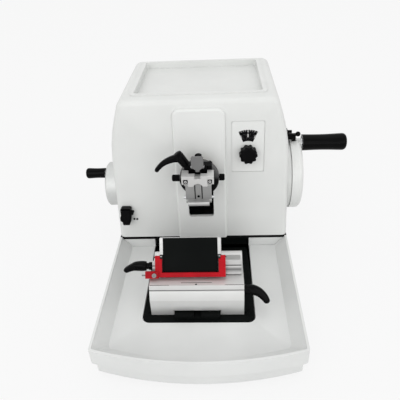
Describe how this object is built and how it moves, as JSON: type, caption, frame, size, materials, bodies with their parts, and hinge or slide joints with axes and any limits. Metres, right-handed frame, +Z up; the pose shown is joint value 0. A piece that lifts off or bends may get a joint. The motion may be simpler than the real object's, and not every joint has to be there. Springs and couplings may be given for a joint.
{
  "type": "rotary microtome",
  "caption": "Rotary microtome with hand wheels, moving specimen head, tilting blade holder and a waste tray in front.",
  "frame": {"origin": "on the bench, below the middle of the whole instrument, grips and tray included", "axes": "+Z up, -Y towards the operator, +X towards the drive wheel"},
  "size_m": [0.426, 0.4856, 0.2756],
  "materials": {
    "housing_paint": "satin",
    "panel_paint": "satin",
    "tray_paint": "semi-gloss",
    "wheel_paint": "gloss",
    "black_plastic": "gloss",
    "black_satin": "satin",
    "black_steel": "satin",
    "rubber": "matte",
    "cast": "machined",
    "steel": "ground",
    "aluminium": "anodised",
    "bronze": "satin",
    "red": "gloss",
    "lens": "clear"
  },
  "bodies": {
    "stand": {"base_casting": "tray_paint", "rubber_feet": "rubber", "gasket_strip": "rubber", "housing_shell": "housing_paint", "channel_panel": "panel_paint", "control_panel": "panel_paint", "window_lens": "lens", "top_tray": "housing_paint", "rear_cover": "housing_paint", "cover_screws": "steel", "base_plate": "black_steel", "plate_screws": "black_steel", "holder_guide": "black_steel", "waste_tray": "tray_paint", "column_casting": "cast", "guide_rails": "steel", "shaft_bearings": "steel", "lock_bracket": "black_satin", "trim_plate": "panel_paint"},
    "drive": {"handwheel": "wheel_paint", "wheel_cap": "black_plastic", "drive_shaft": "steel", "crank_disc": "steel", "crank_roller": "bronze", "grip_axle": "steel"},
    "grip": {"hand_grip": "black_plastic"},
    "lock": {"lock_lever": "black_plastic"},
    "coarse": {"coarse_wheel": "aluminium", "coarse_shaft": "steel", "coarse_axle": "steel"},
    "small_grip": {"coarse_grip": "black_plastic"},
    "slide": {"carriage": "cast", "crank_yoke": "steel", "slot_cover": "black_satin", "feed_sleeve": "bronze", "feed_unit": "cast"},
    "ratchet": {"ratchet_wheel": "bronze"},
    "feed": {"feed_spindle": "steel", "orientation_disc": "black_satin"},
    "screw_left": {"side_screw_left": "black_plastic"},
    "screw_right": {"side_screw_right": "black_plastic"},
    "screw_top": {"top_screw": "black_plastic"},
    "tilt_block": {"holder_block": "black_satin", "clamp_body": "aluminium", "jaw_screws": "steel", "clamp_pins": "steel"},
    "tilt_lever": {"orientation_lever": "black_plastic"},
    "jaw": {"upper_jaw": "aluminium"},
    "jaw_arm": {"jaw_lever": "steel"},
    "dial": {"section_knob": "black_plastic", "section_dial": "black_satin"},
    "trim": {"trim_lever": "black_plastic"},
    "holder": {"holder_base": "aluminium"},
    "holder_arm": {"base_lever": "black_plastic"},
    "blade_head": {"blade_holder": "aluminium", "side_bars": "steel"},
    "plate": {"pressure_plate": "black_steel"},
    "blade_arm": {"blade_lever": "black_plastic"},
    "guard": {"finger_guard": "red", "guard_screw": "steel"}
  },
  "joints": [
    {"name": "drive_turn", "type": "hinge", "parent": "stand", "child": "drive", "pos_m": [0.1302, 0.0812, 0.122], "axis": [1, 0, 0], "continuous": true},
    {"name": "grip_turn", "type": "hinge", "parent": "drive", "child": "grip", "pos_m": [0.1802, 0.08664, 0.17372], "axis": [1, 0, 0], "continuous": true},
    {"name": "lock_swing", "type": "hinge", "parent": "stand", "child": "lock", "pos_m": [0.122, 0.0812, 0.1905], "axis": [0, -1, 0], "range_deg": [0, 35]},
    {"name": "coarse_turn", "type": "hinge", "parent": "stand", "child": "coarse", "pos_m": [-0.1648, 0.0792, 0.108], "axis": [1, 0, 0], "range_deg": [0, 4500]},
    {"name": "small_grip_turn", "type": "hinge", "parent": "coarse", "child": "small_grip", "pos_m": [-0.1948, 0.07145, 0.13334], "axis": [1, 0, 0], "continuous": true},
    {"name": "head_slide", "type": "slide", "parent": "stand", "child": "slide", "axis": [0, 0, 1], "range_m": [-0.056, 0]},
    {"name": "specimen_feed", "type": "slide", "parent": "slide", "child": "feed", "axis": [0, -1, 0], "range_m": [0, 0.025]},
    {"name": "ratchet_turn", "type": "hinge", "parent": "slide", "child": "ratchet", "pos_m": [-0.0198, 0.1012, 0.169], "axis": [0, 1, 0], "range_deg": [0, 4500]},
    {"name": "swing_sideways", "type": "hinge", "parent": "feed", "child": "tilt_block", "pos_m": [-0.0198, -0.0174, 0.169], "axis": [0, 0, 1], "range_deg": [-8, 8]},
    {"name": "left_screw_turn", "type": "hinge", "parent": "feed", "child": "screw_left", "pos_m": [-0.0498, -0.0104, 0.169], "axis": [1, 0, 0], "range_deg": [-360, 360]},
    {"name": "right_screw_turn", "type": "hinge", "parent": "feed", "child": "screw_right", "pos_m": [0.0102, -0.0104, 0.169], "axis": [1, 0, 0], "range_deg": [-360, 360]},
    {"name": "top_screw_turn", "type": "hinge", "parent": "feed", "child": "screw_top", "pos_m": [-0.0198, -0.0104, 0.199], "axis": [0, 0, 1], "range_deg": [-360, 360]},
    {"name": "tilt_lock", "type": "hinge", "parent": "tilt_block", "child": "tilt_lever", "pos_m": [-0.0343, -0.0308, 0.199], "axis": [-0.5548, 0, 0.832], "range_deg": [0, 60]},
    {"name": "jaw_lift", "type": "slide", "parent": "tilt_block", "child": "jaw", "axis": [0, 0, 1], "range_m": [0, 0.004]},
    {"name": "jaw_tip", "type": "hinge", "parent": "tilt_block", "child": "jaw_arm", "pos_m": [-0.0198, -0.0403, 0.2035], "axis": [1, 0, 0], "range_deg": [0, 50]},
    {"name": "section_turn", "type": "hinge", "parent": "stand", "child": "dial", "pos_m": [0.0522, 0.00817, 0.19485], "axis": [0, -0.9945, 0.1045], "range_deg": [-150, 150]},
    {"name": "trim_turn", "type": "hinge", "parent": "stand", "child": "trim", "pos_m": [-0.1383, 0.00138, 0.10155], "axis": [0, -0.9945, 0.1045], "range_deg": [0, 50]},
    {"name": "holder_slide", "type": "slide", "parent": "stand", "child": "holder", "axis": [0, 1, 0], "range_m": [0, 0.04]},
    {"name": "holder_clamp", "type": "hinge", "parent": "holder", "child": "holder_arm", "pos_m": [0.0422, -0.1338, 0.065], "axis": [-1, 0, 0], "range_deg": [0, 50]},
    {"name": "blade_angle", "type": "hinge", "parent": "holder", "child": "blade_head", "pos_m": [-0.0198, -0.0968, 0.125], "axis": [-1, 0, 0], "range_deg": [0, 8]},
    {"name": "plate_open", "type": "hinge", "parent": "blade_head", "child": "plate", "pos_m": [-0.0315, -0.12088, 0.08096], "axis": [1, 0, 0], "range_deg": [0, 2]},
    {"name": "blade_clamp", "type": "hinge", "parent": "blade_head", "child": "blade_arm", "pos_m": [-0.0898, -0.1088, 0.086], "axis": [-1, 0, 0], "range_deg": [0, 80]},
    {"name": "guard_flip", "type": "hinge", "parent": "blade_head", "child": "guard", "pos_m": [-0.0315, -0.1135, 0.10573], "axis": [-1, 0, 0], "range_deg": [0, 165]}
  ],
  "couplings": [
    {"joint": "specimen_feed", "follows": "coarse_turn", "m_per_rad": 0.00031831},
    {"joint": "ratchet_turn", "follows": "coarse_turn", "ratio": 1},
    {"joint": "left_screw_turn", "follows": "swing_sideways", "ratio": 40},
    {"joint": "right_screw_turn", "follows": "swing_sideways", "ratio": -40},
    {"joint": "jaw_tip", "follows": "jaw_lift", "rad_per_m": 218.17},
    {"joint": "plate_open", "follows": "blade_clamp", "ratio": 0.025}
  ]
}
